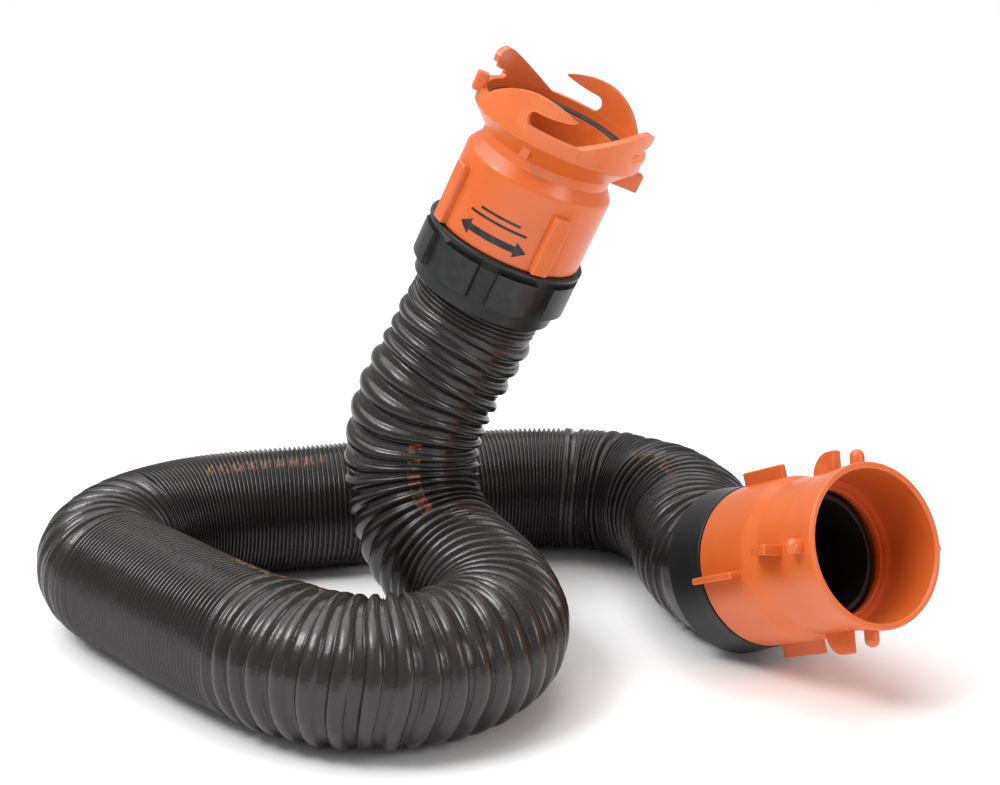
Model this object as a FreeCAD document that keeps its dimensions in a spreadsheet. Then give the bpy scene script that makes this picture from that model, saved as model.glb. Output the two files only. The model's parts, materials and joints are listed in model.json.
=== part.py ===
import FreeCAD, Part
import math
import os
import Sketcher

# Sewer hose kit: a corrugated drain hose lying in a loose S on the ground, with a
# swivelling lug fitting at one end and a swivelling bayonet fitting at the other.
# Millimetres, +Z up, ground at Z = 0, origin under the middle of the two fittings.
# Each fitting is drawn about its own axis: its z = 0 is the rim of the locking ring,
# and +z runs out of the fitting's mouth.

SIZES = [
    ("hose_radius", 44.0), ("hose_wall", 3.0),
    # swivel joint, the same at both ends
    ("ring_length", 40.0), ("ring_base_radius", 47.6), ("ring_waist_radius", 49.2),
    ("ring_rim_radius", 52.6), ("ring_rim_height", 8.0), ("ring_hose_gap", 0.3),
    ("ring_throat_height", 4.0), ("ring_throat_radius", 45.3), ("lug_ring_length", 30.5),
    ("ring_rim_edge", 2.0), ("ring_pad_root", 1.5), ("ring_round", 0.9),
    ("lug_ring_base_radius", 53.4), ("lug_ring_waist_radius", 51.6),
    ("lug_ring_rim_radius", 51.4), ("lug_ring_round", 2.4),
    ("ring_skirt_bore", 47.9), ("ring_pad_radius", 52.8), ("ring_pad_width", 27.0),
    ("ring_pad_bottom", 29.0), ("ring_pad_top", 6.5), ("ring_shoulder", 14.3),
    ("flange_bottom", 14.0), ("flange_top", 8.0), ("flange_radius", 45.5),
    ("spigot_length", 12.0), ("spigot_wall", 4.0), ("sleeve_radius", 38.5),
    ("sleeve_bore", 35.0), ("swivel_gap", 0.05), ("free_gap", 0.3),
    ("skirt_radius", 47.5), ("lip_bottom", 7.7), ("lip_top", 2.5), ("seal_room_radius", 43.0),
    ("seal_room_top", 12.0), ("seal_height", 4.5), ("snap_height", 2.2), ("snap_radius", 42.3),
    ("snap_slot", 9.0), ("seal_thick", 4.2),
    # lug fitting
    ("lug_length", 106.0), ("lug_body_radius", 50.8), ("lug_sleeve_radius", 47.6),
    ("lug_mouth_radius", 49.6), ("lug_mouth_bore", 45.5), ("lug_lip_bore", 39.4),
    ("lug_lip_step", 41.6), ("lug_lip_height", 62.0), ("lug_shoulder", 43.0),
    ("lug_adapter_top", 57.5), ("lug_pin_radius", 4.5), ("lug_pin_tip", 58.6),
    ("lug_pin_height", 95.0), ("lug_wing_tip", 61.0), ("lug_wing_top", 77.5),
    ("lug_wing_bottom", 55.5), ("lug_wing_thick", 3.0), ("lug_wing_rib_width", 6.4),
    ("lug_wing_rib_depth", 4.6), ("lug_fin_radius", 59.2), ("lug_fin_thick", 4.0),
    ("lug_fin_bottom", 0.6), ("lug_fin_top", 39.5),
    # bayonet fitting
    ("bay_body_radius", 49.0), ("bay_shoulder", 50.0), ("bay_neck_radius", 43.2),
    ("bay_neck_bottom", 58.0), ("bay_neck_top", 64.0), ("bay_dish_radius", 56.2),
    ("bay_dish_bottom", 77.0), ("bay_face", 81.0), ("bay_wall_top", 86.5),
    ("bay_wall_bore", 52.2), ("bay_bore", 38.6), ("bay_adapter_top", 10.0),
    ("gasket_inner", 40.6), ("gasket_outer", 49.4), ("gasket_seat", 3.0),
    ("gasket_height", 4.4), ("claw_top", 110.0), ("claw_flare", 2.0),
    ("bay_rib_depth", 6.5), ("bay_rib_width", 12.0), ("bay_rib_length", 40.0),
    ("bay_rib_bottom", 0.8), ("ear_width", 7.0), ("ear_length", 12.0),
    ("stay_depth", 10.5), ("stay_width", 6.0), ("stay_length", 11.5),
]

# Where each fitting stands: a point on its axis, the compass angle and the tilt of its
# mouth, and its spin about its own axis.
SHIFT = FreeCAD.Vector(105.2, -254.0, 0.0)
LUG_MOUTH = FreeCAD.Vector(220.0, -342.0, 104.5)
LUG_COMPASS = -56.6
LUG_TILT = 24.2
LUG_SPIN = 166.0
BAYONET_RIM = FreeCAD.Vector(4.7, -190.7, 256.2)
BAYONET_COMPASS = -18.7
BAYONET_TILT = 64.8
BAYONET_SPIN = 110.0

# Angles round a fitting's own axis, of the first of each set.
PAD_ANGLE = 12.0
LUG_PIN_ANGLE = 2.0
LUG_FIN_ANGLE = 13.0
HOOK_ANGLE = 61.0
LATCH_ANGLE = 140.0
BAYONET_RIB_ANGLE = 23.0
BAYONET_STAY_ANGLE = 68.0
WALL_EAR_ANGLE = 186.0
DISH_EAR_ANGLE = 4.0

# The hose's route from the lug fitting to the bayonet fitting, between its two straight
# ends.  Points at the hose's radius lie on the ground.
HOSE_MIDDLE = [
    (131, -186, 45), (136, -128, 44), (98, -68, 44), (30, -54, 44), (-44, -73, 44),
    (-115, -97, 44), (-177, -110, 44), (-226, -134, 44), (-260, -174, 44),
    (-261, -226, 44), (-225, -264, 44), (-186, -309, 44), (-139, -355, 44),
    (-97, -386, 44), (-53, -387, 44), (-14, -361, 44), (0, -322, 44), (-8, -282, 46),
    (-24, -246, 48), (-48, -213, 60), (-60, -187, 94), (-55, -184, 142),
]
LUG_STRAIGHT = 27.5
BAYONET_STRAIGHT = 60.0

doc = FreeCAD.newDocument("sewer_hose_kit")
sheet = doc.addObject("Spreadsheet::Sheet", "Sizes")
for row, (alias, value) in enumerate(SIZES, start=1):
    sheet.set("A%d" % row, alias)
    sheet.set("B%d" % row, str(value))
    sheet.setAlias("B%d" % row, alias)
doc.recompute()


def size(expression):
    """The value of an expression in the sheet's names."""
    return float(sheet.evalExpression(named(expression)))


def named(expression):
    """The expression with the sheet's name before each alias."""
    words = expression.replace("(", "( ").replace(")", " )").split()
    aliases = {alias for alias, _ in SIZES}
    return " ".join("Sizes." + word if word in aliases else word for word in words)


def axis_frame(compass, tilt, spin):
    """A rotation whose z points along a compass angle and up a tilt, spun about itself."""
    turn, rise = math.radians(compass), math.radians(tilt)
    ahead = FreeCAD.Vector(
        math.cos(turn) * math.cos(rise), math.sin(turn) * math.cos(rise), math.sin(rise)
    )
    level = ahead.cross(FreeCAD.Vector(0, 0, 1)).normalize()
    upright = FreeCAD.Rotation(level, ahead.cross(level), ahead, "ZXY")
    return upright.multiply(FreeCAD.Rotation(FreeCAD.Vector(0, 0, 1), spin))


LUG_TURN = axis_frame(LUG_COMPASS, LUG_TILT, LUG_SPIN)
BAYONET_TURN = axis_frame(BAYONET_COMPASS, BAYONET_TILT, BAYONET_SPIN)
LUG_AHEAD = LUG_TURN.multVec(FreeCAD.Vector(0, 0, 1))
BAYONET_AHEAD = BAYONET_TURN.multVec(FreeCAD.Vector(0, 0, 1))
LUG_RIM = LUG_MOUTH - LUG_AHEAD * size("lug_length")
LUG = FreeCAD.Placement(LUG_RIM - SHIFT, LUG_TURN)
BAYONET = FreeCAD.Placement(BAYONET_RIM - SHIFT, BAYONET_TURN)


def plane(body, role):
    return next(part for part in body.Origin.OriginFeatures if part.Role == role)


def outline_sketch(body, name, corners):
    """A closed outline on the body's XZ plane, each corner held by two expressions."""
    sketch = body.newObject("Sketcher::SketchObject", name)
    sketch.AttachmentSupport = [(plane(body, "XZ_Plane"), "")]
    sketch.MapMode = "FlatFace"
    places = [FreeCAD.Vector(size(x), size(y), 0) for x, y in corners]
    count = len(places)
    for k in range(count):
        sketch.addGeometry(Part.LineSegment(places[k], places[(k + 1) % count]), False)
    for k in range(count):
        sketch.addConstraint(Sketcher.Constraint("Coincident", k, 2, (k + 1) % count, 1))
    for k, (x, y) in enumerate(corners):
        for kind, words, value in (("DistanceX", x, places[k].x), ("DistanceY", y, places[k].y)):
            index = sketch.addConstraint(Sketcher.Constraint(kind, -1, 1, k, 1, value))
            sketch.setExpression("Constraints[%d]" % index, named(words))
    return sketch


def turned(name, corners):
    """A body turned about z from a closed outline of (radius, height) pairs."""
    body = doc.addObject("PartDesign::Body", name)
    sketch = outline_sketch(body, name + "_outline", corners)
    turn = body.newObject("PartDesign::Revolution", name + "_turned")
    turn.Profile = sketch
    turn.ReferenceAxis = (sketch, ["V_Axis"])
    turn.Angle = 360.0
    sketch.Visibility = False
    doc.recompute()
    return body


def rounded(body, radius, picks):
    """Round the body's circular edges nearest to the (radius, height) picks."""
    base, names = body.Tip, []
    for reach, height in picks:
        best = None
        for index, edge in enumerate(body.Shape.Edges, start=1):
            curve = edge.Curve
            if not isinstance(curve, Part.Circle):
                continue
            miss = abs(curve.Radius - size(reach)) + abs(curve.Center.z - size(height))
            if best is None or miss < best[0]:
                best = (miss, "Edge%d" % index)
        names.append(best[1])
    fillet = body.newObject("PartDesign::Fillet", body.Name + "_round")
    fillet.Base = (base, sorted(set(names)))
    fillet.Radius = radius
    doc.recompute()
    if fillet.State and "Invalid" in fillet.State:
        raise RuntimeError("fillet failed on " + body.Name)
    return body


def around(angle, reach=0.0, height=0.0):
    """A placement turned about z, whose x points outwards."""
    turn = FreeCAD.Rotation(FreeCAD.Vector(0, 0, 1), angle)
    return FreeCAD.Placement(turn.multVec(FreeCAD.Vector(reach, 0, height)), turn)


def block(name, angle, reach, height, sizes):
    """A box whose inner face is at a radius, centred on an angle: (outwards, around, up)."""
    box = doc.addObject("Part::Box", name)
    for key, words in zip(("Length", "Width", "Height"), sizes):
        box.setExpression(key, named(words))
    shift = FreeCAD.Placement(FreeCAD.Vector(0, -size(sizes[1]) / 2.0, 0), FreeCAD.Rotation())
    box.Placement = around(angle, size(reach), size(height)).multiply(shift)
    return box


def softened(shape_object, radius, name):
    """All of a small block's edges rounded alike."""
    doc.recompute()
    soft = doc.addObject("Part::Fillet", name)
    soft.Base = shape_object
    soft.Edges = [(k, radius, radius) for k in range(1, len(shape_object.Shape.Edges) + 1)]
    return soft


def joined(name, pieces):
    fuse = doc.addObject("Part::MultiFuse", name)
    fuse.Shapes = pieces
    fuse.Refine = True
    return fuse


def less(name, base, tool):
    cut = doc.addObject("Part::Cut", name)
    cut.Base = base
    cut.Tool = tool
    return cut


# ---------------------------------------------------------------- the swivel joint
def ring_pads(name):
    """Eight grip pads round a locking ring."""
    outer = doc.addObject("Part::Cylinder", name + "_pad_outer")
    outer.setExpression("Radius", named("ring_pad_radius"))
    outer.setExpression("Height", named("ring_pad_bottom - ring_pad_top"))
    outer.Placement.Base.z = -size("ring_pad_bottom")
    inner = doc.addObject("Part::Cylinder", name + "_pad_inner")
    inner.setExpression("Radius", named("ring_waist_radius - ring_pad_root"))
    inner.setExpression("Height", named("ring_pad_bottom - ring_pad_top"))
    inner.Placement.Base.z = -size("ring_pad_bottom")
    band = less(name + "_pad_band", outer, inner)
    pads = []
    for k in range(8):
        sector = doc.addObject("Part::Common", "%s_pad_%d" % (name, k + 1))
        sector.Base = band
        sector.Tool = block("%s_pad_cutter_%d" % (name, k + 1), 45.0 * k + PAD_ANGLE, "sleeve_bore",
                            "0 - ring_length", ("skirt_radius", "ring_pad_width", "ring_length"))
        pads.append(sector)
    return pads


def locking_ring(name, length, base, waist, rim, base_round):
    """The black collar that grips the hose's end and covers the swivel."""
    bottom = "0 - " + length
    ring = turned(name + "_shell", [
        ("ring_throat_radius", bottom),
        (base, bottom),
        (waist, "0 - ring_rim_height"),
        (rim, "0 - ring_rim_edge"),
        (rim, "0"),
        ("ring_skirt_bore", "0"),
        ("ring_skirt_bore", "0 - flange_top"),
        ("flange_radius + free_gap", "0 - flange_top"),
        ("flange_radius + free_gap", "0 - ring_shoulder"),
        ("hose_radius + ring_hose_gap", "0 - ring_shoulder"),
        ("hose_radius + ring_hose_gap", bottom + " + ring_throat_height"),
    ])
    rounded(ring, size("ring_round"), [(rim, "0")])
    return rounded(ring, size(base_round), [(base, bottom)])


def hose_adapter(name, top):
    """The black inner sleeve: it plugs the hose and carries the swivelling fitting."""
    return rounded(turned(name, [
        ("hose_radius - hose_wall - spigot_wall", "0 - flange_bottom - spigot_length"),
        ("hose_radius - hose_wall", "0 - flange_bottom - spigot_length"),
        ("hose_radius - hose_wall", "0 - flange_bottom"),
        ("flange_radius", "0 - flange_bottom"),
        ("flange_radius", "0 - flange_top"),
        ("sleeve_radius", "0 - flange_top"),
        ("sleeve_radius", top),
        ("sleeve_bore", top),
        ("sleeve_bore", "0 - flange_top"),
        ("hose_radius - hose_wall - spigot_wall", "0 - flange_bottom"),
    ]), 0.8, [("sleeve_radius", top), ("sleeve_bore", top)])


def swivel_seal(name):
    """A rubber ring on the sleeve, above the fitting's lip."""
    return rounded(turned(name, [
        ("sleeve_radius", "0 - lip_top + free_gap"),
        ("sleeve_radius + seal_thick", "0 - lip_top + free_gap"),
        ("sleeve_radius + seal_thick", "0 - lip_top + free_gap + seal_height"),
        ("sleeve_radius", "0 - lip_top + free_gap + seal_height"),
    ]), 1.2, [("sleeve_radius + seal_thick", "0 - lip_top + free_gap"),
              ("sleeve_radius + seal_thick", "0 - lip_top + free_gap + seal_height")])


def snap_ring(name):
    """The split ring that keeps the fitting on the sleeve."""
    low = "0 - lip_top + free_gap + seal_height"
    hoop = turned(name + "_hoop", [
        ("sleeve_radius", low), ("snap_radius", low),
        ("snap_radius", low + " + snap_height"), ("sleeve_radius", low + " + snap_height"),
    ])
    slot = block(name + "_slot", 90.0, "sleeve_radius - 2", low + " - 1",
                 ("10", "snap_slot", "snap_height + 2"))
    return less(name, hoop, slot)


def skirt_inside(top_inside):
    """Corners of a fitting's lower end, from its outer skirt round to its bore."""
    return [
        ("skirt_radius", "0 - lip_bottom"),
        ("sleeve_radius + swivel_gap", "0 - lip_bottom"),
        ("sleeve_radius + swivel_gap", "0 - lip_top"),
        ("seal_room_radius", "0 - lip_top"),
        ("seal_room_radius", "seal_room_top"),
    ] + top_inside


# ---------------------------------------------------------------- the lug fitting
def lug_pins():
    """Four dome-ended pins round the mouth."""
    pieces = []
    for k in range(4):
        pin = doc.addObject("Part::Cylinder", "lug_pin_%d" % (k + 1))
        pin.setExpression("Radius", named("lug_pin_radius"))
        pin.setExpression("Height", named("lug_pin_tip - lug_sleeve_radius + 1 - lug_pin_radius"))
        lay = FreeCAD.Rotation(FreeCAD.Vector(0, 1, 0), 90)
        pin.Placement = around(
            90.0 * k + LUG_PIN_ANGLE, size("lug_sleeve_radius - 1"), size("lug_pin_height")
        )
        pin.Placement = pin.Placement.multiply(FreeCAD.Placement(FreeCAD.Vector(), lay))
        dome = doc.addObject("Part::Sphere", "lug_pin_dome_%d" % (k + 1))
        dome.setExpression("Radius", named("lug_pin_radius"))
        dome.Placement = around(
            90.0 * k + LUG_PIN_ANGLE, size("lug_pin_tip - lug_pin_radius"),
            size("lug_pin_height")
        )
        pieces += [pin, dome]
    return pieces


def lug_wing(angle, name):
    """A quarter-round blade with a thick front edge, standing behind a pin."""
    low, high = size("lug_wing_bottom"), size("lug_wing_top")
    base, tip = size("lug_sleeve_radius - 1.5"), size("lug_wing_tip")
    front = high - 1.5
    corners = [FreeCAD.Vector(base, 0, low), FreeCAD.Vector(base, 0, front),
               FreeCAD.Vector(tip, 0, front), FreeCAD.Vector(tip, 0, front - 5)]
    middle = FreeCAD.Vector(base + 0.72 * (tip - base), 0, low + 0.22 * (front - low))
    edges = [Part.LineSegment(corners[k], corners[k + 1]).toShape() for k in range(3)]
    edges.append(Part.Arc(corners[3], middle, corners[0]).toShape())
    thick, wide, deep = size("lug_wing_thick"), size("lug_wing_rib_width"), size("lug_wing_rib_depth")
    blade = Part.Face(Part.Wire(edges)).extrude(FreeCAD.Vector(0, thick, 0))
    blade.translate(FreeCAD.Vector(0, -thick / 2.0, 0))
    rib = Part.makeBox(tip - base, wide, deep, FreeCAD.Vector(base, -wide / 2.0, high - deep))
    rib = rib.makeFillet(1.4, [e for e in rib.Edges if e.CenterOfMass.x > base + 1])
    wing = doc.addObject("Part::Feature", name)
    wing.Shape = blade.fuse(rib)
    wing.Placement = around(angle)
    return wing


def lug_fins():
    """Four thin finger fins at the rear, for turning the fitting."""
    fins = []
    for k in range(4):
        fin = block("lug_fin_%d" % (k + 1), 90.0 * k + LUG_FIN_ANGLE, "lug_body_radius - 1.5",
                    "lug_fin_bottom", ("lug_fin_radius - lug_body_radius + 1.5",
                                       "lug_fin_thick", "lug_fin_top - lug_fin_bottom"))
        fins.append(softened(fin, 1.3, "lug_fin_round_%d" % (k + 1)))
    return fins


def lug_body():
    """The orange sleeve that pushes over a bayonet fitting's mouth."""
    shell = turned("lug_shell", [
        ("lug_mouth_radius", "lug_length"),
        ("lug_mouth_radius", "lug_length - 3"),
        ("lug_sleeve_radius", "lug_length - 26"),
        ("lug_sleeve_radius", "lug_shoulder + 11"),
        ("lug_body_radius", "lug_shoulder"),
        ("lug_body_radius", "free_gap"),
        ("skirt_radius", "free_gap"),
    ] + skirt_inside([
        ("lug_body_radius - 4", "seal_room_top + 3"),
        ("lug_body_radius - 4", "lug_shoulder - 3"),
        ("lug_sleeve_radius - 4", "lug_shoulder + 9"),
        ("lug_sleeve_radius - 4", "lug_lip_height - 2"),
        ("lug_lip_bore", "lug_lip_height - 2"),
        ("lug_lip_bore", "lug_lip_height + 1.6"),
        ("lug_lip_step", "lug_lip_height + 1.6"),
        ("lug_lip_step", "lug_lip_height + 4"),
        ("lug_mouth_bore", "lug_lip_height + 4"),
        ("lug_mouth_bore", "lug_length"),
    ]))
    rounded(shell, 1.4, [("lug_mouth_radius", "lug_length"), ("lug_mouth_bore", "lug_length"),
                         ("lug_body_radius", "free_gap")])
    rounded(shell, 8.0, [("lug_body_radius", "lug_shoulder"),
                         ("lug_sleeve_radius", "lug_shoulder + 11")])
    wings = [lug_wing(90.0 * k + LUG_PIN_ANGLE, "lug_wing_%d" % (k + 1)) for k in range(4)]
    return joined("lug_body", [shell] + lug_pins() + wings + lug_fins())


# ---------------------------------------------------------------- the bayonet fitting
def claw_shell():
    """The slightly flared wall that the claws are cut from."""
    low, high = "bay_face - 3", "claw_top"
    return turned("bayonet_claw_wall", [
        ("bay_wall_bore", low), ("bay_dish_radius", low),
        ("bay_dish_radius + claw_flare", high), ("bay_wall_bore + claw_flare", high),
    ])


def curved(points):
    """Edges from rows of two points, a line, or three, an arc through the middle one."""
    edges = []
    for row in points:
        places = [FreeCAD.Vector(0, around_by, up) for around_by, up in row]
        curve = Part.LineSegment(*places) if len(places) == 2 else Part.Arc(*places)
        edges.append(curve.toShape())
    return edges


def claw(name, wall, angle, rows):
    """The part of the wall inside an outline drawn on the plane that faces an angle."""
    wire = Part.Wire(Part.__sortEdges__(curved(rows)))
    cutter = doc.addObject("Part::Feature", name + "_outline")
    cutter.Shape = Part.Face(wire).extrude(FreeCAD.Vector(45, 0, 0))
    cutter.Placement = around(angle, 25.0)
    piece = doc.addObject("Part::Common", name)
    piece.Base = wall
    piece.Tool = cutter
    return piece


def hook_rows():
    """The long sharp hook: (around, up) points, from its root over to its tip."""
    low, wall = size("bay_face - 2"), size("bay_wall_top")
    return [
        [(-36, low), (-36, wall)],
        [(-36, wall), (-18.5, 100), (0, 106)],
        [(0, 106), (14.5, 105.2), (28, 100.8)],
        [(28, 100.8), (27.4, 99.8)],
        [(27.4, 99.8), (17, 97.3), (6, 96.6)],
        [(6, 96.6), (0.6, 91.5), (5.5, wall)],
        [(5.5, wall), (30, wall)],
        [(30, wall), (30, low)],
        [(30, low), (-36, low)],
    ]


def latch_rows():
    """The short stout hook with two small notches under its tip."""
    low, wall = size("bay_face - 2"), size("bay_wall_top")
    return [
        [(-36, low), (-36, wall)],
        [(-36, wall), (-20.5, 96.2), (-4, 104)],
        [(-4, 104), (5, 106.3), (13, 105)],
        [(13, 105), (16.4, 102.8), (17, 100)],
        [(17, 100), (16.2, 97.4)],
        [(16.2, 97.4), (9.4, 95.2)],
        [(9.4, 95.2), (9.2, 92.9)],
        [(9.2, 92.9), (3.4, 92.4)],
        [(3.4, 92.4), (-0.6, 89.4), (2.4, wall)],
        [(2.4, wall), (22, wall)],
        [(22, wall), (22, low)],
        [(22, low), (-36, low)],
    ]


def bayonet_ribs():
    """Four finger ribs on the body, square at the top."""
    ribs = []
    for k in range(4):
        rib = block("bayonet_rib_%d" % (k + 1), 90.0 * k + BAYONET_RIB_ANGLE,
                    "bay_body_radius - 2", "bay_rib_bottom",
                    ("bay_rib_depth", "bay_rib_width", "bay_rib_length"))
        ribs.append(softened(rib, 1.6, "bayonet_rib_round_%d" % (k + 1)))
    return ribs


def bayonet_ears():
    """A square ear on the wall, one under the dish, and two stays on the neck."""
    ears = [
        block("bayonet_ear_1", WALL_EAR_ANGLE, "bay_wall_bore + 1.5", "bay_dish_bottom + 6",
              ("bay_dish_radius + 5 - bay_wall_bore - 1.5", "ear_width", "ear_length")),
        block("bayonet_ear_2", DISH_EAR_ANGLE, "bay_neck_radius - 1.5", "bay_neck_top - 4",
              ("bay_dish_radius + 6 - bay_neck_radius + 1.5", "ear_width", "ear_length")),
    ]
    for k in range(2):
        ears.append(block("bayonet_stay_%d" % (k + 1), 180.0 * k + BAYONET_STAY_ANGLE,
                          "bay_neck_radius - 1.5", "bay_neck_top + 1.5",
                          ("stay_depth", "stay_width", "stay_length")))
    return [softened(ear, 1.2, ear.Name + "_round") for ear in ears]


def bayonet_body():
    """The orange swivelling body, its dish and its claws."""
    shell = turned("bayonet_shell", [
        ("bay_wall_bore", "bay_wall_top"),
        ("bay_dish_radius", "bay_wall_top"),
        ("bay_dish_radius", "bay_dish_bottom"),
        ("bay_neck_radius", "bay_neck_top"),
        ("bay_neck_radius", "bay_neck_bottom"),
        ("bay_body_radius", "bay_shoulder"),
        ("bay_body_radius", "free_gap"),
        ("skirt_radius", "free_gap"),
    ] + skirt_inside([
        ("bay_body_radius - 4", "seal_room_top + 3"),
        ("bay_body_radius - 4", "bay_shoulder - 4"),
        ("bay_bore", "bay_neck_bottom"),
        ("bay_bore", "bay_face"),
        ("gasket_inner", "bay_face"),
        ("gasket_inner", "bay_face - gasket_seat"),
        ("gasket_outer", "bay_face - gasket_seat"),
        ("gasket_outer", "bay_face"),
        ("bay_wall_bore", "bay_face"),
    ]))
    rounded(shell, 5.0, [("bay_body_radius", "bay_shoulder")])
    rounded(shell, 1.2, [("bay_dish_radius", "bay_dish_bottom"),
                         ("bay_body_radius", "free_gap")])
    wall = claw_shell()
    claws = []
    for k in range(2):
        claws.append(claw("hook_claw_%d" % (k + 1), wall, 180.0 * k + HOOK_ANGLE, hook_rows()))
        claws.append(claw("latch_claw_%d" % (k + 1), wall, 180.0 * k + LATCH_ANGLE, latch_rows()))
    return joined("bayonet_body", [shell] + claws + bayonet_ribs() + bayonet_ears())


def gasket():
    """The black face seal in the bayonet's seat."""
    low = "bay_face - gasket_seat"
    return rounded(turned("bayonet_gasket", [
        ("gasket_inner", low), ("gasket_outer", low),
        ("gasket_outer", low + " + gasket_height"), ("gasket_inner", low + " + gasket_height"),
    ]), 1.0, [("gasket_inner", low + " + gasket_height"),
              ("gasket_outer", low + " + gasket_height")])


# ---------------------------------------------------------------- the hose
def hose_route():
    """The route's points, from inside the lug's ring to inside the bayonet's ring."""
    lug_end = LUG_RIM - LUG_AHEAD * size("flange_bottom")
    bayonet_end = BAYONET_RIM - BAYONET_AHEAD * size("flange_bottom")
    points = [lug_end, lug_end - LUG_AHEAD * LUG_STRAIGHT]
    points += [FreeCAD.Vector(*place) for place in HOSE_MIDDLE]
    points += [bayonet_end - BAYONET_AHEAD * BAYONET_STRAIGHT, bayonet_end]
    return [point - SHIFT for point in points]


def hose_path(points):
    """Straight runs joined by tangent arcs, each as large as its runs allow."""
    edges, radii, start = [], [], points[0]
    for k in range(1, len(points) - 1):
        back, ahead = points[k - 1] - points[k], points[k + 1] - points[k]
        turn = math.pi - back.getAngle(ahead)
        reach = 0.45 * min(back.Length, ahead.Length)
        radius = reach / math.tan(turn / 2.0)
        radii.append((round(radius, 1), round(math.degrees(turn), 1)))
        back.normalize()
        ahead.normalize()
        first, last = points[k] + back * reach, points[k] + ahead * reach
        middle = (back + ahead).normalize()
        centre = points[k] + middle * (radius / math.cos(turn / 2.0))
        edges.append(Part.LineSegment(start, first).toShape())
        edges.append(Part.Arc(first, centre - middle * radius, last).toShape())
        start = last
    edges.append(Part.LineSegment(start, points[-1]).toShape())
    return Part.Wire(edges), radii


def hose_tube():
    """The hose's wall, swept along its route."""
    path, radii = hose_path(hose_route())
    print("hose length %.1f, arcs (radius, turn) %s" % (path.Length, radii))
    outer, inner = size("hose_radius"), size("hose_radius - hose_wall")
    start = path.Vertexes[0].Point
    shapes = []
    for radius in (outer, inner):
        rim = Part.Wire(Part.Circle(start, LUG_AHEAD, radius).toShape())
        shapes.append(path.makePipeShell([rim], True, True))
    tube = doc.addObject("Part::Feature", "hose")
    tube.Shape = shapes[0].cut(shapes[1])
    want = math.pi * (outer ** 2 - inner ** 2) * path.Length
    print("hose volume %.0f, section times length %.0f" % (tube.Shape.Volume, want))
    return tube


# ---------------------------------------------------------------- the assembly
nodes = {}


def place_node(label, thing, placement=None):
    thing.Label = label
    if placement is not None:
        thing.Placement = placement
    nodes[label] = thing


place_node("hose", hose_tube())
place_node("lug_body", lug_body(), LUG)
lug_collar = locking_ring("lug_ring", "lug_ring_length", "lug_ring_base_radius",
                          "lug_ring_waist_radius", "lug_ring_rim_radius", "lug_ring_round")
place_node("lug_locking_ring", lug_collar, LUG)
place_node("lug_hose_adapter", hose_adapter("lug_adapter", "lug_adapter_top"), LUG)
place_node("lug_swivel_seal", swivel_seal("lug_seal"), LUG)
place_node("lug_snap_ring", snap_ring("lug_snap"), LUG)
place_node("bayonet_body", bayonet_body(), BAYONET)
place_node("bayonet_gasket", gasket(), BAYONET)
bayonet_collar = locking_ring("bay_ring_collar", "ring_length", "ring_base_radius",
                              "ring_waist_radius", "ring_rim_radius", "ring_round")
padded_collar = joined("bay_ring", [bayonet_collar] + ring_pads("bay_ring"))
place_node("bayonet_locking_ring", padded_collar, BAYONET)
place_node("bayonet_hose_adapter", hose_adapter("bay_adapter", "bay_adapter_top"), BAYONET)
place_node("bayonet_swivel_seal", swivel_seal("bay_seal"), BAYONET)
place_node("bayonet_snap_ring", snap_ring("bay_snap"), BAYONET)
doc.recompute()

for item in doc.Objects:
    if "Invalid" in item.State or "Error" in item.State:
        raise RuntimeError("%s failed: %s" % (item.Label, item.State))
os.makedirs("parts", exist_ok=True)
for label, thing in nodes.items():
    if thing.Shape.isNull() or not thing.Shape.isValid():
        raise RuntimeError("%s has no valid shape" % label)
    box = thing.Shape.BoundBox
    print("%-22s solids %d volume %.0f  x %.1f..%.1f  y %.1f..%.1f  z %.1f..%.1f" % (
        label, len(thing.Shape.Solids), thing.Shape.Volume,
        box.XMin, box.XMax, box.YMin, box.YMax, box.ZMin, box.ZMax))
    thing.Shape.exportStep("parts/%s.step" % label)
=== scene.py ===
import json
import math
import random

import bmesh
import bpy
import numpy as np
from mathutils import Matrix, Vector


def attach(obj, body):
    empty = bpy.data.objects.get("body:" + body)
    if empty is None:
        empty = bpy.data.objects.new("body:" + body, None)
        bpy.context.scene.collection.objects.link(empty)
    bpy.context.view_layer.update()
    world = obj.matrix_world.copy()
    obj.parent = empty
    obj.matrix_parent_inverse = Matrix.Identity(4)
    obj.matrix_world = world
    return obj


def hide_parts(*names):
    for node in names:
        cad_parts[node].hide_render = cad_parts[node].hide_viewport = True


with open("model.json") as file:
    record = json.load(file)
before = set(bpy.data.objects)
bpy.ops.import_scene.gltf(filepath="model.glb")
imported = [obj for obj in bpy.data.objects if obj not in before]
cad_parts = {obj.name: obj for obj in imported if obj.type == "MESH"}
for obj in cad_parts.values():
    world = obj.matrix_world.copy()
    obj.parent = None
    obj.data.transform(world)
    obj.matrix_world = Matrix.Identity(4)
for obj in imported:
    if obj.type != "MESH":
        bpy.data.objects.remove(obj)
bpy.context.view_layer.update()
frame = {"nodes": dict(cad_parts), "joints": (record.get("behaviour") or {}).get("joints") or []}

MM = 0.001

# The drain hose: a thin wall wound on a wire, coarse where it is pulled out and fine where
# it is pushed together.
HOSE_RADIUS = 44 * MM
LINER_RADIUS = 39.2 * MM
LINER_END_RADIUS = 41.1 * MM
HOSE_AROUND = 48
ROWS_PER_TURN = 15
LINER_ROWS = 90
LINER_TAPER_START = 14 * MM
LINER_TAPER = 10 * MM
FLOOR_CLEARANCE = 0.3 * MM
FLANGE_BOTTOM = 14 * MM
LUG_STRAIGHT = 27.5 * MM
BAYONET_STRAIGHT = 60 * MM
ADAPTER_SIDE = 8 * MM
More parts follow.
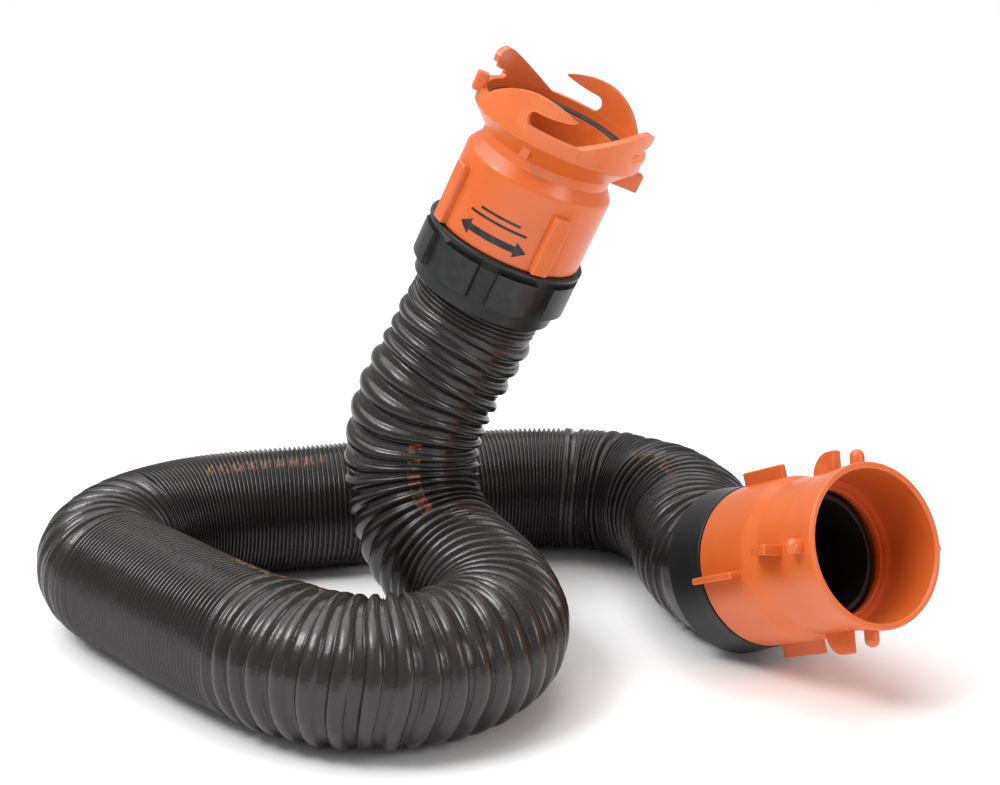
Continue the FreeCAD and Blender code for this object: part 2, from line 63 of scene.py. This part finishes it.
# The offset taken off each of the route's middle points, in metres.
LOOP_SHIFT = Vector((0.1052, -0.2540, 0.0))
HOSE_MIDDLE = [
    (0.131, -0.186, 0.045), (0.136, -0.128, 0.044), (0.098, -0.068, 0.044),
    (0.030, -0.054, 0.044), (-0.044, -0.073, 0.044), (-0.115, -0.097, 0.044),
    (-0.177, -0.110, 0.044), (-0.226, -0.134, 0.044), (-0.260, -0.174, 0.044),
    (-0.261, -0.226, 0.044), (-0.225, -0.264, 0.044), (-0.186, -0.309, 0.044),
    (-0.139, -0.355, 0.044), (-0.097, -0.386, 0.044), (-0.053, -0.387, 0.044),
    (-0.014, -0.361, 0.044), (0.000, -0.322, 0.044), (-0.008, -0.282, 0.046),
    (-0.024, -0.246, 0.048), (-0.048, -0.213, 0.060), (-0.060, -0.187, 0.094),
    (-0.055, -0.184, 0.142),
]
# One turn of the hose's wall, row by row, in millimetres from the hose's axis: pulled out,
# it is a broad rib and two thin ridges; pushed together, three narrow ribs.
COARSE_TURN = [41.0, 43.2, 44.1, 44.5, 44.8, 44.8, 44.8, 44.5, 44.1, 43.2, 41.0, 42.0, 40.8, 42.0, 40.8]
FINE_TURN = [41.3, 43.3, 43.9, 43.2, 41.5] * 3
# Along the hose, in millimetres from the lug end: the length of a turn, and how far the
# wall is pulled out, from 0 to 1.
TURN_LENGTHS = [
    (0, 9.6), (35, 9.6), (60, 9.2), (190, 9.0), (245, 10.0), (560, 10.0), (590, 11.5),
    (640, 11.5), (670, 10.0), (780, 10.0), (815, 12.0), (870, 11.4), (910, 10.4),
    (1010, 10.4), (1070, 11.4), (1150, 12.4), (1190, 13.6), (1268, 13.6), (1282, 9.3),
    (1330, 9.3),
]
PULLED_OUT = [
    (0, 0), (34, 0), (46, 1), (176, 1), (184, 0), (202, 0), (206, 1), (216, 1), (220, 0),
    (232, 0), (236, 0.8), (246, 0.8), (250, 0), (562, 0), (585, 0.5), (640, 0.5), (660, 0),
    (796, 0), (812, 1), (1268, 1), (1276, 0), (1330, 0),
]
# Stretches where the wall is creased: from, to, and how many creases.
CREASED = [(45, 235, 36), (555, 665, 16), (800, 960, 18), (960, 1190, 16)]
CREASE_LIMIT = 2.8 * MM
# The wall's unevenness: each turn's swell in millimetres, and a slow wave round the hose.
# Towards both ends the wall blends into a plain one of the mean radius.
SWELL = 0.45
WAVE = 0.25 * MM
MEAN_RADIUS = 43.2 * MM
END_BLEND = 12 * MM
# The last pushed-together turns, below the bayonet's ring, are a little slimmer.
NECK_LENGTH = 52 * MM
NECK_SLIMMER = 0.9 * MM
# The slack, lobed turns behind the lug's ring.
LOBES_START = 17 * MM
LOBES_RISE = 3 * MM
LOBES_STOP = 44 * MM
LOBES_FADE = 14 * MM
LOBES_RADIUS = 45.6 * MM
LOBES_SWELL = 0.7 * MM
# The printed line's place round the hose, measured from the top.
PRINT_ANGLE = math.radians(-20)
# The printed line's dashes, the runs of them, and where the first run starts, in metres.
DASH_LENGTH = 0.0105
RUN_LENGTH = 0.335
RUN_START = 0.090

# The camera.
EYE = Vector((-0.1052, -1.1300, 0.4929))
TARGET = Vector((-0.1052, 0.2540, 0.1000))
LENS = 68.4


def joint_line(name):
    """A joint's point and unit axis."""
    joint = next(j for j in frame["joints"] if j["name"] == name)
    return Vector(joint["pos_m"]), Vector(joint["axis"]).normalized()


LUG_RIM, LUG_AHEAD = joint_line("lug_swivel")
BAYONET_RIM, BAYONET_AHEAD = joint_line("bayonet_swivel")


# ------------------------------------------------------------------ camera
def make_camera():
    data = bpy.data.cameras.new("camera")
    data.lens = LENS
    data.sensor_width = 36.0
    data.clip_end = 100.0
    camera = bpy.data.objects.new("camera", data)
    camera.location = EYE
    camera.rotation_euler = (TARGET - EYE).to_track_quat("-Z", "Y").to_euler()
    bpy.context.scene.collection.objects.link(camera)
    bpy.context.scene.camera = camera


# ------------------------------------------------------------------ hose
def hose_route():
    """The route's points, from inside the lug's ring to inside the bayonet's ring."""
    lug_end = LUG_RIM - LUG_AHEAD * FLANGE_BOTTOM
    bayonet_end = BAYONET_RIM - BAYONET_AHEAD * FLANGE_BOTTOM
    middle = [Vector(place) - LOOP_SHIFT for place in HOSE_MIDDLE]
    return [lug_end, lug_end - LUG_AHEAD * LUG_STRAIGHT, *middle,
            bayonet_end - BAYONET_AHEAD * BAYONET_STRAIGHT, bayonet_end]


def smooth_line(points):
    """Points along the smooth NURBS line of a route."""
    data = bpy.data.curves.new("hose_line", "CURVE")
    data.dimensions = "3D"
    data.resolution_u = 24
    spline = data.splines.new("NURBS")
    spline.points.add(len(points) - 1)
    for slot, place in zip(spline.points, points):
        slot.co = (*place, 1.0)
    spline.order_u = 3
    spline.use_endpoint_u = True
    line = bpy.data.objects.new("hose_line", data)
    bpy.context.scene.collection.objects.link(line)
    mesh = bpy.data.meshes.new_from_object(line)
    places = np.array([vertex.co for vertex in mesh.vertices])
    bpy.data.objects.remove(line)
    bpy.data.meshes.remove(mesh)
    return places


class Line:
    """A line's length, places and untwisted side directions."""

    def __init__(self, places):
        steps = np.linalg.norm(np.diff(places, axis=0), axis=1)
        self.places = places
        self.lengths = np.concatenate([[0.0], np.cumsum(steps)])
        self.total = self.lengths[-1]
        ahead = np.gradient(places, self.lengths, axis=0)
        self.ahead = ahead / np.linalg.norm(ahead, axis=1)[:, None]
        side = np.array((0.0, 0.0, 1.0))
        sides = []
        for direction in self.ahead:
            side = side - direction * side.dot(direction)
            side = side / np.linalg.norm(side)
            sides.append(side)
        self.up = np.array(sides)
        self.across = np.cross(self.ahead, self.up)

    def at(self, rows, along):
        """Rows of a per-point table, read at distances along the line."""
        return np.stack([np.interp(along, self.lengths, rows[:, k]) for k in range(3)], 1)

    def around(self, along, angle, radius):
        """Places at a radius from the line."""
        side = self.at(self.up, along) * np.cos(angle)[:, None]
        side = side + self.at(self.across, along) * np.sin(angle)[:, None]
        return self.at(self.places, along) + side * radius[:, None]


def grid(rows, around):
    """A flat grid's bmesh, with each vertex's row and column."""
    shape = bmesh.new()
    bmesh.ops.create_grid(shape, x_segments=rows, y_segments=around, size=1.0)
    flat = np.array([vertex.co for vertex in shape.verts])
    row = np.rint((flat[:, 0] + 1) / 2 * rows).astype(int)
    column = np.rint((flat[:, 1] + 1) / 2 * around).astype(int)
    return shape, row, column


def table(pairs, along):
    """A table of (millimetres, value) pairs, read smoothly at distances in metres."""
    return np.interp(along / MM, [p[0] for p in pairs], [p[1] for p in pairs])


def turn_table(line):
    """How many turns the wall has made, at even steps along the line."""
    along = np.linspace(0, line.total, 4000)
    turns = np.concatenate([[0.0], np.cumsum(np.diff(along) / (table(TURN_LENGTHS, along[1:]) * MM))])
    return along, turns * (round(turns[-1]) / turns[-1])


def sway(along, angle):
    """How far the ribs lean along the hose, so that they aren't all alike."""
    pulled = table(PULLED_OUT, along)
    slow = 1.1 * MM * np.sin(2 * angle + along / (37 * MM))
    quick = 0.8 * MM * np.sin(3 * angle - along / (19 * MM) + 1.0)
    return (slow + quick) * pulled


def creases(along, angle):
    """Short dents where neighbouring ribs are pinched together."""
    draw = random.Random(23)
    depth = np.zeros_like(along)
    for first, last, count in CREASED:
        for _ in range(count):
            place = draw.uniform(first, last) * MM
            facing = draw.uniform(-math.pi, math.pi)
            reach = draw.uniform(0.25, 0.6)
            lean = draw.uniform(-9, 9) * MM
            wide = draw.uniform(2.2, 4.0) * MM
            deep = draw.uniform(0.9, 2.3) * MM
            turned = np.remainder(angle - facing + math.pi, 2 * math.pi) - math.pi
            off = (along - place - lean * turned) / wide
            depth += deep * np.exp(-off ** 2 - (turned / reach) ** 2)
    return np.minimum(depth, CREASE_LIMIT)


def wall_radius(line, along, turns, row, angle):
    """The outside of the hose's wall, with its ribs and its small unevenness."""
    pulled = table(PULLED_OUT, along)
    coarse = np.array(COARSE_TURN)[row % ROWS_PER_TURN] * MM
    fine = np.array(FINE_TURN)[row % ROWS_PER_TURN] * MM
    draw = random.Random(11)
    swell = np.array([draw.uniform(-SWELL, SWELL) for _ in range(int(turns.max()) + 2)]) * MM
    swell = np.interp(turns, np.arange(len(swell)), swell)
    ribs = fine * (1 - pulled) + (coarse + swell) * pulled
    wave = WAVE * np.sin(3 * angle + along / (31 * MM)) * np.sin(along / (57 * MM) + 1.0)
    end = np.minimum(along, line.total - along)
    showing = np.clip(end / END_BLEND, 0, 1)
    radius = MEAN_RADIUS + (ribs + wave - MEAN_RADIUS) * showing
    neck = np.clip((along - (line.total - NECK_LENGTH)) / END_BLEND, 0, 1) * (1 - pulled)
    radius = radius - NECK_SLIMMER * neck - creases(along, angle) * showing
    slack = np.clip((along - LOBES_START) / LOBES_RISE, 0, 1)
    slack = slack * np.clip((LOBES_STOP - along) / LOBES_FADE, 0, 1)
    lobes = LOBES_RADIUS + LOBES_SWELL * np.sin(4 * angle + 0.6)
    return radius * (1 - slack) + lobes * slack


def outer_wall(line):
    """The ribbed outside; each vertex keeps its place along the hose and round it."""
    steps, turned = turn_table(line)
    count = int(round(turned[-1]))
    shape, row, column = grid((count + 1) * ROWS_PER_TURN, HOSE_AROUND)
    turns = np.clip(row / ROWS_PER_TURN + column / HOSE_AROUND - 1.0, 0, count)
    along = np.interp(turns, turned, steps)
    angle = -2 * math.pi * column / HOSE_AROUND
    leant = np.clip(along + sway(along, angle), 0, line.total)
    places = line.around(leant, angle, wall_radius(line, along, turns, row, angle))
    places[:, 2] = np.maximum(places[:, 2], FLOOR_CLEARANCE)
    distance = shape.verts.layers.float.new("along")
    facing = shape.verts.layers.float.new("facing")
    for vertex, place, far, turn in zip(shape.verts, places, along, angle):
        vertex.co = place
        vertex[distance] = far
        vertex[facing] = math.cos(turn - PRINT_ANGLE)
    return shape


def inner_wall(line):
    """The plain inside, a little wider at both ends, over the adapters."""
    liner, row, column = grid(LINER_ROWS, HOSE_AROUND)
    along = row / LINER_ROWS * line.total
    angle = -2 * math.pi * column / HOSE_AROUND
    end = np.minimum(along, line.total - along)
    end = np.clip((end - LINER_TAPER_START) / LINER_TAPER, 0, 1)
    inside = LINER_END_RADIUS + (LINER_RADIUS - LINER_END_RADIUS) * end
    for vertex, place in zip(liner.verts, line.around(along, angle, inside)):
        vertex.co = place
    return liner


def hose_shell(line):
    """The hose's mesh: a ribbed outside, a plain inside and two closed ends."""
    shape = outer_wall(line)
    liner = inner_wall(line)
    mesh = bpy.data.meshes.new("liner")
    liner.to_mesh(mesh)
    liner.free()
    shape.from_mesh(mesh)
    bpy.data.meshes.remove(mesh)
    bmesh.ops.remove_doubles(shape, verts=shape.verts[:], dist=0.002 * MM)
    bmesh.ops.dissolve_degenerate(shape, edges=shape.edges[:], dist=0.001 * MM)
    start = Vector(line.places[0])
    rims = [edge for edge in shape.edges if edge.is_boundary]
    near = [edge for edge in rims if (edge.verts[0].co - start).length < 2 * HOSE_RADIUS]
    far = [edge for edge in rims if edge not in set(near)]
    for rim in (near, far):
        bmesh.ops.bridge_loops(shape, edges=rim)
    bmesh.ops.recalc_face_normals(shape, faces=shape.faces[:])
    return shape


def piece(name, shape, material, body, smooth=True):
    """A finished object from a bmesh, riding on a body."""
    mesh = bpy.data.meshes.new(name)
    shape.to_mesh(mesh)
    shape.free()
    if smooth:
        mesh.polygons.foreach_set("use_smooth", [True] * len(mesh.polygons))
    mesh.materials.append(material)
    thing = bpy.data.objects.new(name, mesh)
    bpy.context.scene.collection.objects.link(thing)
    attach(thing, body)
    return thing


def make_hose(material):
    """The hose, a mesh between the two fittings, in place of the CAD hose."""
    line = Line(smooth_line(hose_route()))
    hose = piece("corrugated_hose", hose_shell(line), material, "hose_assembly")
    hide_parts("hose")
    # The line's last point lies a little off the axis, nearer the adapter's wall.
    path = line.places.copy()
    path[-1] = path[-1] + line.across[-1] * ADAPTER_SIDE


# ------------------------------------------------------------------ printed arrow
# The bayonet's body, the print on it, and the arrow's outline and bars in millimetres.
BODY_RADIUS = 49 * MM
ARROW_RADIUS = 48.98 * MM
ARROW_THICK = 0.2 * MM
ARROW_HEIGHT = 11 * MM
ARROW_TURN = math.radians(-16)
ARROW_HALF = 24
ARROW = [(-24, 0), (-16, 5.2), (-16, 2.2), (16, 2.2), (16, 5.2), (24, 0),
         (16, -5.2), (16, -2.2), (-16, -2.2), (-16, -5.2)]
BARS = [[(-20, 9.5), (20, 9.5), (20, 11.1), (-20, 11.1)],
        [(-14, 14.0), (14, 14.0), (14, 15.6), (-14, 15.6)]]


def wrapped_print(material):
    """A turn arrow under two plain bars, wrapped round the bayonet's body."""
    shape = bmesh.new()
    for outline in [ARROW, *BARS]:
        corners = [shape.verts.new((x * MM, y * MM, 0.0)) for x, y in outline]
        shape.faces.new(corners)
    extruded = bmesh.ops.extrude_face_region(shape, geom=shape.faces[:])
    raised = [part for part in extruded["geom"] if isinstance(part, bmesh.types.BMVert)]
    bmesh.ops.translate(shape, verts=raised, vec=(0.0, 0.0, ARROW_THICK))
    for step in range(1 - ARROW_HALF, ARROW_HALF):
        whole = shape.verts[:] + shape.edges[:] + shape.faces[:]
        bmesh.ops.bisect_plane(shape, geom=whole, plane_co=(step * MM, 0, 0), plane_no=(1, 0, 0))
    bmesh.ops.recalc_face_normals(shape, faces=shape.faces[:])
    toward = Vector((0.0, -1.0, 0.0))
    front = (toward - BAYONET_AHEAD * toward.dot(BAYONET_AHEAD)).normalized()
    right = BAYONET_AHEAD.cross(front)
    for vertex in shape.verts:
        turn = vertex.co.x / BODY_RADIUS + ARROW_TURN
        out = front * math.cos(turn) + right * math.sin(turn)
        height = ARROW_HEIGHT + vertex.co.y
        vertex.co = BAYONET_RIM + BAYONET_AHEAD * height + out * (ARROW_RADIUS + vertex.co.z)
    piece("turn_arrow_print", shape, material, "bayonet_fitting", smooth=False)


# ------------------------------------------------------------------ materials
def node(tree, kind, **settings):
    """A shader node with its settings and its inputs' values."""
    made = tree.nodes.new(kind)
    for key, value in settings.items():
        if hasattr(made, key):
            setattr(made, key, value)
        else:
            made.inputs[key.replace("_", " ")].default_value = value
    return made


def blank_material(name):
    """A new material, its node tree and its shader."""
    material = bpy.data.materials.new(name)
    material.use_nodes = True
    tree = material.node_tree
    shader = tree.nodes["Principled BSDF"]
    return material, tree, shader


def group(name, inputs, outputs):
    """An empty node group with named sockets."""
    tree = bpy.data.node_groups.new(name, "ShaderNodeTree")
    for label, kind, value in inputs:
        socket = tree.interface.new_socket(label, in_out="INPUT", socket_type=kind)
        socket.default_value = value
    for label, kind in outputs:
        tree.interface.new_socket(label, in_out="OUTPUT", socket_type=kind)
    return tree, tree.nodes.new("NodeGroupInput"), tree.nodes.new("NodeGroupOutput")


FLOAT = "NodeSocketFloat"


def surface_group():
    """Moulded plastic's surface: a slow tone, fine grain and rubbed scratches."""
    tree, start, end = group(
        "moulded_surface",
        [("Tone Scale", FLOAT, 18.0), ("Grain Scale", FLOAT, 900.0), ("Scratch Scale", FLOAT, 60.0)],
        [("Tone", FLOAT), ("Grain", FLOAT), ("Scratches", FLOAT)],
    )
    place = tree.nodes.new("ShaderNodeTexCoord")
    link = tree.links.new
    tone = node(tree, "ShaderNodeTexNoise", Detail=3.0)
    grain = node(tree, "ShaderNodeTexNoise", Detail=2.0)
    stretch = node(tree, "ShaderNodeMapping", Scale=(1.0, 6.0, 0.6), Rotation=(0.4, 0.9, 0.2))
    scratch = node(tree, "ShaderNodeTexNoise", Detail=6.0, Roughness=0.75)
    narrow = node(tree, "ShaderNodeMapRange", From_Min=0.60, From_Max=0.74)
    link(place.outputs["Object"], tone.inputs["Vector"])
    link(place.outputs["Object"], grain.inputs["Vector"])
    link(place.outputs["Object"], stretch.inputs["Vector"])
    link(stretch.outputs["Vector"], scratch.inputs["Vector"])
    link(start.outputs["Tone Scale"], tone.inputs["Scale"])
    link(start.outputs["Grain Scale"], grain.inputs["Scale"])
    link(start.outputs["Scratch Scale"], scratch.inputs["Scale"])
    link(scratch.outputs["Fac"], narrow.inputs["Value"])
    link(tone.outputs["Fac"], end.inputs["Tone"])
    link(grain.outputs["Fac"], end.inputs["Grain"])
    link(narrow.outputs["Result"], end.inputs["Scratches"])
    return tree


def edge_group():
    """Edges rubbed pale by handling, broken up so that they aren't even."""
    tree, start, end = group("rubbed_edges", [("Edge Start", FLOAT, 0.53), ("Edge Full", FLOAT, 0.62)],
                             [("Mask", FLOAT)])
    link = tree.links.new
    shape = tree.nodes.new("ShaderNodeNewGeometry")
    place = tree.nodes.new("ShaderNodeTexCoord")
    ramp = tree.nodes.new("ShaderNodeMapRange")
    broken = node(tree, "ShaderNodeTexNoise", Scale=140.0, Detail=4.0)
    part = node(tree, "ShaderNodeMapRange", From_Min=0.40, From_Max=0.62)
    both = node(tree, "ShaderNodeMath", operation="MULTIPLY")
    link(shape.outputs["Pointiness"], ramp.inputs["Value"])
    link(start.outputs["Edge Start"], ramp.inputs["From Min"])
    link(start.outputs["Edge Full"], ramp.inputs["From Max"])
    link(place.outputs["Object"], broken.inputs["Vector"])
    link(broken.outputs["Fac"], part.inputs["Value"])
    link(ramp.outputs["Result"], both.inputs[0])
    link(part.outputs["Result"], both.inputs[1])
    link(both.outputs["Value"], end.inputs["Mask"])
    return tree


def dust_group():
    """Dust that settles on faces that look up."""
    tree, start, end = group("settled_dust", [("Amount", FLOAT, 0.2)], [("Mask", FLOAT)])
    link = tree.links.new
    shape = tree.nodes.new("ShaderNodeNewGeometry")
    place = tree.nodes.new("ShaderNodeTexCoord")
    split = tree.nodes.new("ShaderNodeSeparateXYZ")
    upward = node(tree, "ShaderNodeMapRange", From_Min=0.35, From_Max=1.0)
    patches = node(tree, "ShaderNodeTexNoise", Scale=45.0, Detail=6.0, Roughness=0.7)
    part = node(tree, "ShaderNodeMapRange", From_Min=0.42, From_Max=0.75)
    both = node(tree, "ShaderNodeMath", operation="MULTIPLY")
    share = node(tree, "ShaderNodeMath", operation="MULTIPLY")
    link(shape.outputs["Normal"], split.inputs["Vector"])
    link(split.outputs["Z"], upward.inputs["Value"])
    link(place.outputs["Object"], patches.inputs["Vector"])
    link(patches.outputs["Fac"], part.inputs["Value"])
    link(upward.outputs["Result"], both.inputs[0])
    link(part.outputs["Result"], both.inputs[1])
    link(both.outputs["Value"], share.inputs[0])
    link(start.outputs["Amount"], share.inputs[1])
    link(share.outputs["Value"], end.inputs["Mask"])
    return tree


GROUPS = {}


def placed(tree, name, **settings):
    """A node group placed in a material with its own values."""
    made = tree.nodes.new("ShaderNodeGroup")
    made.node_tree = GROUPS[name]
    for key, value in settings.items():
        made.inputs[key.replace("_", " ")].default_value = value
    return made


def mix(tree, factor, first, second, share=None):
    """A colour mix: factor is a socket, first and second are sockets or colours."""
    made = tree.nodes.new("ShaderNodeMix")
    made.data_type = "RGBA"
    if share is not None:
        scale = node(tree, "ShaderNodeMath", operation="MULTIPLY")
        tree.links.new(factor, scale.inputs[0])
        scale.inputs[1].default_value = share
        factor = scale.outputs[0]
    tree.links.new(factor, made.inputs["Factor"])
    for socket, value in (("A", first), ("B", second)):
        target = next(s for s in made.inputs if s.name == socket and s.type == "RGBA")
        if isinstance(value, tuple):
            target.default_value = (*value, 1.0)
        else:
            tree.links.new(value, target)
    return next(s for s in made.outputs if s.type == "RGBA")


def ramp_value(tree, source, low, high, from_low=0.0, from_high=1.0):
    """A socket's value, moved from one range to another."""
    made = node(tree, "ShaderNodeMapRange", From_Min=from_low, From_Max=from_high,
                To_Min=low, To_Max=high)
    tree.links.new(source, made.inputs["Value"])
    return made.outputs["Result"]


def bump(tree, shader, height, strength, distance):
    """Raise a height socket into the shader's normal."""
    made = node(tree, "ShaderNodeBump", Strength=strength, Distance=distance)
    tree.links.new(height, made.inputs["Height"])
    tree.links.new(made.outputs["Normal"], shader.inputs["Normal"])


def plastic(name, deep, light, rubbed, rough, edge=0.5, dust=0.1, grain=0.12, gloss=0.5):
    """Moulded plastic: toned, grained, scratched, rubbed at its edges and a little dusty."""
    material, tree, shader = blank_material(name)
    link = tree.links.new
    skin = placed(tree, "moulded_surface")
    worn = placed(tree, "rubbed_edges")
    dusty = placed(tree, "settled_dust", Amount=dust)
    colour = mix(tree, ramp_value(tree, skin.outputs["Tone"], 0, 1, 0.35, 0.65), deep, light)
    colour = mix(tree, worn.outputs["Mask"], colour, rubbed, edge)
    colour = mix(tree, skin.outputs["Scratches"], colour, rubbed, 0.12)
    colour = mix(tree, dusty.outputs["Mask"], colour, (0.45, 0.42, 0.38))
    link(colour, shader.inputs["Base Color"])
    rough_now = node(tree, "ShaderNodeMath", operation="ADD")
    link(ramp_value(tree, skin.outputs["Tone"], rough - 0.05, rough + 0.07), rough_now.inputs[0])
    link(ramp_value(tree, skin.outputs["Scratches"], 0.0, 0.16), rough_now.inputs[1])
    link(rough_now.outputs[0], shader.inputs["Roughness"])
    bump(tree, shader, skin.outputs["Grain"], grain, 0.0004)
    shader.inputs["Specular IOR Level"].default_value = gloss
    return material


def hose_vinyl():
    """Glossy dark brown-black vinyl with a faded printed line of dashes."""
    material, tree, shader = blank_material("hose_vinyl")
    link = tree.links.new
    skin = placed(tree, "moulded_surface", Tone_Scale=9.0, Grain_Scale=420.0, Scratch_Scale=40.0)
    dusty = placed(tree, "settled_dust", Amount=0.10)
    colour = mix(tree, skin.outputs["Tone"], (0.008, 0.0063, 0.0064), (0.028, 0.0215, 0.0220))
    colour = mix(tree, skin.outputs["Scratches"], colour, (0.10, 0.09, 0.085), 0.22)
    colour = mix(tree, print_mask(tree), colour, (0.34, 0.125, 0.06))
    colour = mix(tree, dusty.outputs["Mask"], colour, (0.30, 0.27, 0.25))
    link(colour, shader.inputs["Base Color"])
    rough = node(tree, "ShaderNodeMath", operation="ADD")
    link(ramp_value(tree, skin.outputs["Tone"], 0.21, 0.31), rough.inputs[0])
    link(ramp_value(tree, skin.outputs["Scratches"], 0.0, 0.2), rough.inputs[1])
    link(rough.outputs[0], shader.inputs["Roughness"])
    shader.inputs["Specular IOR Level"].default_value = 0.55
    dents = placed(tree, "moulded_surface", Tone_Scale=85.0, Grain_Scale=230.0)
    rough_wall = mix(tree, dents.outputs["Tone"], (0.0, 0.0, 0.0), (1.0, 1.0, 1.0))
    rough_wall = mix(tree, skin.outputs["Grain"], rough_wall, (1.0, 1.0, 1.0), 0.12)
    bump(tree, shader, rough_wall, 0.45, 0.0014)
    return material


def print_mask(tree):
    """Worn dashes along one side of the hose."""
    link = tree.links.new
    along = node(tree, "ShaderNodeAttribute", attribute_name="along")
    facing = node(tree, "ShaderNodeAttribute", attribute_name="facing")
    place = tree.nodes.new("ShaderNodeTexCoord")
    line = ramp_value(tree, facing.outputs["Fac"], 0.0, 1.0, 0.9935, 0.9950)
    beat = node(tree, "ShaderNodeMath", operation="FRACT")
    scaled = node(tree, "ShaderNodeMath", operation="MULTIPLY")
    scaled.inputs[1].default_value = 1 / DASH_LENGTH
    link(along.outputs["Fac"], scaled.inputs[0])
    link(scaled.outputs[0], beat.inputs[0])
    dash = ramp_value(tree, beat.outputs[0], 0.0, 1.0, 0.30, 0.34)
    run = node(tree, "ShaderNodeMath", operation="FRACT")
    runs = node(tree, "ShaderNodeMath", operation="MULTIPLY")
    runs.inputs[1].default_value = 1 / RUN_LENGTH
    later = node(tree, "ShaderNodeMath", operation="SUBTRACT")
    later.inputs[1].default_value = RUN_START
    link(along.outputs["Fac"], later.inputs[0])
    link(later.outputs[0], runs.inputs[0])
    link(runs.outputs[0], run.inputs[0])
    part = ramp_value(tree, run.outputs[0], 1.0, 0.0, 0.27, 0.28)
    worn = node(tree, "ShaderNodeTexNoise", Scale=260.0, Detail=5.0)
    link(place.outputs["Object"], worn.inputs["Vector"])
    left = ramp_value(tree, worn.outputs["Fac"], 0.0, 0.75, 0.42, 0.60)
    factor = line
    for other in (dash, part, left):
        times = node(tree, "ShaderNodeMath", operation="MULTIPLY")
        link(factor, times.inputs[0])
        link(other, times.inputs[1])
        factor = times.outputs[0]
    return factor


def spring_steel():
    """Drawn spring steel with fine scratches."""
    material, tree, shader = blank_material("spring_steel")
    skin = placed(tree, "moulded_surface", Tone_Scale=60.0)
    tree.links.new(mix(tree, skin.outputs["Tone"], (0.42, 0.42, 0.43), (0.60, 0.60, 0.61)),
                   shader.inputs["Base Color"])
    tree.links.new(ramp_value(tree, skin.outputs["Scratches"], 0.25, 0.5), shader.inputs["Roughness"])
    shader.inputs["Metallic"].default_value = 1.0
    return material


def dress(material, *names):
    """Give CAD nodes a material in their own slots."""
    for name in names:
        thing = frame["nodes"][name]
        thing.data.materials.clear()
        thing.data.materials.append(material)


# ------------------------------------------------------------------ floor and light
def make_floor():
    """A plain pale floor."""
    shape = bmesh.new()
    bmesh.ops.create_grid(shape, x_segments=1, y_segments=1, size=15.0)
    mesh = bpy.data.meshes.new("floor")
    shape.to_mesh(mesh)
    shape.free()
    floor = bpy.data.objects.new("floor", mesh)
    bpy.context.scene.collection.objects.link(floor)
    material, _, shader = blank_material("pale_floor")
    shader.inputs["Base Color"].default_value = (0.95, 0.95, 0.95, 1.0)
    shader.inputs["Roughness"].default_value = 0.9
    shader.inputs["Specular IOR Level"].default_value = 0.1
    mesh.materials.append(material)


def softbox(name, place, target, width, height, power):
    """A soft rectangular lamp that faces a target; its power is in watts."""
    data = bpy.data.lights.new(name, "AREA")
    data.shape = "RECTANGLE"
    data.size, data.size_y = width, height
    data.energy = power
    lamp = bpy.data.objects.new(name, data)
    lamp.location = place
    lamp.rotation_euler = (Vector(target) - Vector(place)).to_track_quat("-Z", "Y").to_euler()
    bpy.context.scene.collection.objects.link(lamp)


def make_light():
    """A white room, a wide soft sun overhead and three softboxes for the gloss."""
    world = bpy.data.worlds.new("studio")
    world.use_nodes = True
    world.node_tree.nodes["Background"].inputs["Color"].default_value = (1.0, 1.0, 1.0, 1.0)
    world.node_tree.nodes["Background"].inputs["Strength"].default_value = 0.42
    bpy.context.scene.world = world
    bpy.context.scene.view_settings.view_transform = "Standard"
    middle = (-0.1, 0.1, 0.1)
    softbox("key", (-1.1, -0.6, 1.6), middle, width=0.7, height=0.6, power=17.0)
    softbox("fill", (1.4, -1.0, 1.1), middle, width=0.4, height=0.8, power=8.0)
    softbox("back", (0.1, 1.7, 1.8), middle, width=1.6, height=0.5, power=7.0)
    data = bpy.data.lights.new("overhead", "SUN")
    data.energy = 2.1
    data.angle = math.radians(65)
    lamp = bpy.data.objects.new("overhead", data)
    lamp.rotation_euler = Vector((0.30, -0.1, -1.0)).to_track_quat("-Z", "Y").to_euler()
    bpy.context.scene.collection.objects.link(lamp)


# ------------------------------------------------------------------ making
make_camera()
make_floor()
make_light()
GROUPS["moulded_surface"] = surface_group()
GROUPS["rubbed_edges"] = edge_group()
GROUPS["settled_dust"] = dust_group()
orange = plastic("orange_plastic", (0.66, 0.122, 0.022), (0.72, 0.146, 0.030),
                 (0.85, 0.27, 0.10), 0.32, edge=0.25, dust=0.03, gloss=0.6)
black = plastic("black_plastic", (0.012, 0.0125, 0.013), (0.019, 0.0195, 0.020),
                (0.07, 0.07, 0.07), 0.36, edge=0.35, dust=0.05, gloss=0.35)
rubber = plastic("seal_rubber", (0.010, 0.009, 0.009), (0.018, 0.016, 0.016),
                 (0.05, 0.05, 0.05), 0.62)
make_hose(hose_vinyl())
wrapped_print(black)
dress(orange, "lug_body", "bayonet_body")
dress(black, "lug_locking_ring", "bayonet_locking_ring", "lug_hose_adapter", "bayonet_hose_adapter")
dress(rubber, "lug_swivel_seal", "bayonet_swivel_seal", "bayonet_gasket")
dress(spring_steel(), "lug_snap_ring", "bayonet_snap_ring")
